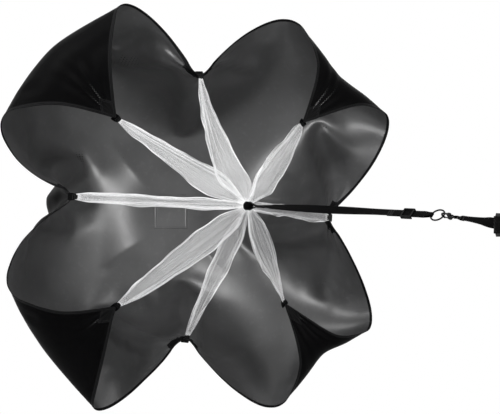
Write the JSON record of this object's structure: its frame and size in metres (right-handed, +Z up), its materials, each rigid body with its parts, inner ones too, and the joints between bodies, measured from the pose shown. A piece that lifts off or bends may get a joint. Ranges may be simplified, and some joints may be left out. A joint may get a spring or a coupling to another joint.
{
  "type": "speed parachute",
  "caption": "Square nylon drag canopy for sprint training, held open by mesh strips gathered to one leash, with a ring, a swivel bolt snap, a tow strap and an adjustable waist belt",
  "frame": {"origin": "centre of the crown patch's inner face, at the middle of the square canopy", "axes": "+Y along the canopy's axis from its mouth to its crown, +Z up, +X to the right of someone who looks into the mouth; the leash leaves the gather 36 degrees from -Y toward +X"},
  "size_m": [1.2567, 1.9277, 1.2104],
  "materials": {
    "alloy": "satin",
    "nylon": "satin",
    "mesh": "matte",
    "webbing": "matte",
    "steel": "satin",
    "plastic": "satin",
    "padding": "matte"
  },
  "bodies": {
    "canopy": {"canopy_gore_1": "nylon", "canopy_gore_2": "nylon", "canopy_gore_3": "nylon", "canopy_gore_4": "nylon", "canopy_gore_5": "nylon", "canopy_gore_6": "nylon", "canopy_gore_7": "nylon", "canopy_gore_8": "nylon", "rim_binding_1": "nylon", "rim_binding_2": "nylon", "rim_binding_3": "nylon", "rim_binding_4": "nylon", "rim_binding_5": "nylon", "rim_binding_6": "nylon", "rim_binding_7": "nylon", "rim_binding_8": "nylon", "crown_patch": "nylon", "anchor_tab_right": "webbing", "anchor_tab_top_right": "webbing", "anchor_tab_top": "webbing", "anchor_tab_top_left": "webbing", "anchor_tab_left": "webbing", "anchor_tab_bottom_left": "webbing", "anchor_tab_bottom": "webbing", "anchor_tab_bottom_right": "webbing", "mesh_strip_right": "mesh", "mesh_strip_top_right": "mesh", "mesh_strip_top": "mesh", "mesh_strip_top_left": "mesh", "mesh_strip_left": "mesh", "mesh_strip_bottom_left": "mesh", "mesh_strip_bottom": "mesh", "mesh_strip_bottom_right": "mesh"},
    "gather": {"strip_gather": "mesh"},
    "leash": {"leash": "webbing"},
    "glide": {"tri_glide": "plastic"},
    "ring": {"ring": "steel"},
    "snap": {"snap_body": "alloy"},
    "bolt": {"snap_bolt": "alloy"},
    "swivel": {"swivel_eye": "alloy"},
    "tow_strap": {"tow_strap": "webbing"},
    "link": {"belt_link": "steel"},
    "belt": {"belt_webbing": "webbing", "belt_pad": "padding", "link_tab": "webbing", "buckle_female": "plastic"},
    "buckle_half": {"buckle_male": "plastic", "belt_tail": "webbing"}
  },
  "joints": [
    {"name": "gather_yaw", "type": "hinge", "parent": "canopy", "child": "gather", "pos_m": [0, -1.0495, 0], "axis": [0, 0, 1], "range_deg": [-110, 40]},
    {"name": "leash_pitch", "type": "hinge", "parent": "gather", "child": "leash", "pos_m": [0, -1.0495, 0], "axis": [0.809, 0.5878, 0], "range_deg": [-60, 60]},
    {"name": "glide_slide", "type": "slide", "parent": "leash", "child": "glide", "axis": [0.5871, -0.8081, -0.0488], "range_m": [-0.04, 0.02]},
    {"name": "ring_swing", "type": "hinge", "parent": "leash", "child": "ring", "pos_m": [0.32994, -1.50362, -0.02745], "axis": [0.5924, 0.3877, 0.7063], "range_deg": [-80, 80]},
    {"name": "snap_swing", "type": "hinge", "parent": "ring", "child": "snap", "pos_m": [0.3499, -1.5311, -0.02911], "axis": [0.5924, 0.3877, 0.7063], "range_deg": [-60, 60]},
    {"name": "bolt_slide", "type": "slide", "parent": "snap", "child": "bolt", "axis": [0.5821, -0.8011, -0.1392], "range_m": [0, 0.005], "stiffness_N_per_m": 300, "springref_m": -0.003},
    {"name": "swivel_turn", "type": "hinge", "parent": "snap", "child": "swivel", "pos_m": [0.36225, -1.5481, -0.03189], "axis": [0.5821, -0.8011, -0.1392], "continuous": true},
    {"name": "strap_swing", "type": "hinge", "parent": "swivel", "child": "tow_strap", "pos_m": [0.36935, -1.55787, -0.03359], "axis": [0.809, 0.5878, 0], "range_deg": [-60, 60]},
    {"name": "link_swing", "type": "hinge", "parent": "tow_strap", "child": "link", "pos_m": [0.44298, -1.65921, -0.0512], "axis": [0.041, -0.0564, 0.9976], "range_deg": [-42, 42]},
    {"name": "belt_swing", "type": "hinge", "parent": "link", "child": "belt", "pos_m": [0.45354, -1.67374, -0.05245], "axis": [0.041, -0.0564, 0.9976], "range_deg": [-42, 42]},
    {"name": "buckle_slide", "type": "slide", "parent": "belt", "child": "buckle_half", "axis": [-0.809, -0.5878, 0], "range_m": [0, 0.027]}
  ]
}
